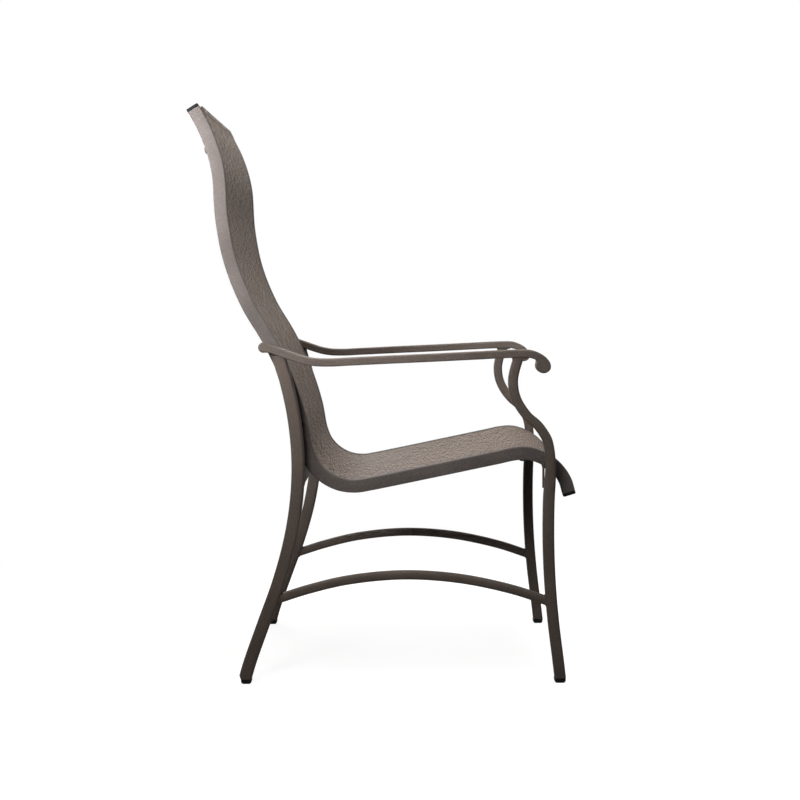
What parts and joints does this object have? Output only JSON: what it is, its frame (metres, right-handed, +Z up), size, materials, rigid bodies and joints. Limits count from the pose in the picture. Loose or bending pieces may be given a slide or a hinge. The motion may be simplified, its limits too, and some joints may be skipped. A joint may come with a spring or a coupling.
{
  "type": "sling patio chair",
  "caption": "High-back outdoor dining chair: woven sling stretched between two curved rails, scrolled arms, bowed tube legs and arched side stretchers.",
  "frame": {"origin": "middle of the chair's outline on the floor, under the feet", "axes": "+Z up; the chair faces -Y; +X is the sitter's left; the chair is symmetric across the plane X = 0"},
  "size_m": [0.62, 0.7449, 1.1185],
  "materials": {
    "frame_paint": "matt powder coat, warm grey-brown, over aluminium",
    "sling_fabric": "vinyl-coated polyester weave in two browns",
    "black_plastic": "matt moulded nylon",
    "spline_cord": "extruded vinyl rod",
    "hardware": "steel screws coated to match the frame"
  },
  "bodies": {
    "root": {"arm_left": "frame_paint", "arm_right": "frame_paint", "front_leg_left": "frame_paint", "front_leg_right": "frame_paint", "rear_leg_left": "frame_paint", "rear_leg_right": "frame_paint", "side_stretcher_left": "frame_paint", "side_stretcher_right": "frame_paint", "rear_crossbar": "frame_paint", "seat_bracket_left": "frame_paint", "seat_bracket_right": "frame_paint", "sling_rail_left": "frame_paint", "sling_rail_right": "frame_paint", "seat_spreader_bar": "frame_paint", "back_spreader_bar": "frame_paint", "sling": "sling_fabric", "sling_spline_left": "spline_cord", "sling_spline_right": "spline_cord", "front_glide_left": "black_plastic", "front_glide_right": "black_plastic", "rear_glide_left": "black_plastic", "rear_glide_right": "black_plastic", "rail_cap_front_left": "black_plastic", "rail_cap_front_right": "black_plastic", "rail_cap_top_left": "black_plastic", "rail_cap_top_right": "black_plastic", "lower_rail_spacer_left": "black_plastic", "lower_rail_spacer_right": "black_plastic", "upper_rail_spacer_left": "black_plastic", "upper_rail_spacer_right": "black_plastic", "front_rail_bolt_left": "hardware", "front_rail_bolt_right": "hardware", "lower_rear_rail_bolt_left": "hardware", "lower_rear_rail_bolt_right": "hardware", "upper_rear_rail_bolt_left": "hardware", "upper_rear_rail_bolt_right": "hardware", "seat_spreader_screw_left": "hardware", "seat_spreader_screw_right": "hardware", "back_spreader_screw_left": "hardware", "back_spreader_screw_right": "hardware"}
  },
  "joints": []
}
